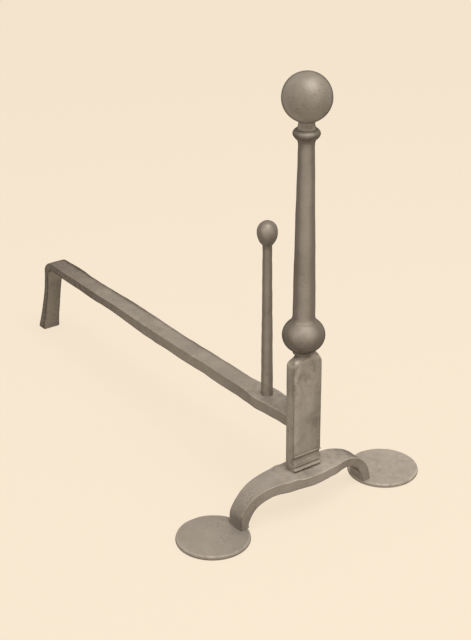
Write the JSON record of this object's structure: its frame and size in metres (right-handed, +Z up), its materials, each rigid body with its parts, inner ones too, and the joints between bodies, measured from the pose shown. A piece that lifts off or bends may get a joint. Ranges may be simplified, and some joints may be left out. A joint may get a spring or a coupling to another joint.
{
  "type": "andiron",
  "caption": "Wrought-iron andiron: a turned post with ball top and flat moulded plinth on a two-footed arch, a log stop, and a bar running back to a turned-down leg that carries the logs.",
  "frame": {"origin": "on the hearth, midway between the front feet's edge and the rear foot's face, on the plane of symmetry", "axes": "+X to the right seen from the room, +Y back into the fire along the bar, +Z up"},
  "size_m": [0.312, 0.5992, 0.4802],
  "materials": {
    "forged_iron": "dull warm grey wrought iron with hammer marks",
    "post_iron": "filed and oiled wrought iron, satin",
    "hearth_iron": "rubbed wrought iron, a little lighter, faint scratches"
  },
  "bodies": {
    "root": {"arch_strap": "forged_iron", "left_foot": "hearth_iron", "right_foot": "hearth_iron", "plinth": "post_iron", "knop": "post_iron", "shaft": "post_iron", "neck_collar": "post_iron", "ball_finial": "post_iron", "billet_bar": "forged_iron", "log_stop": "forged_iron"}
  },
  "joints": []
}
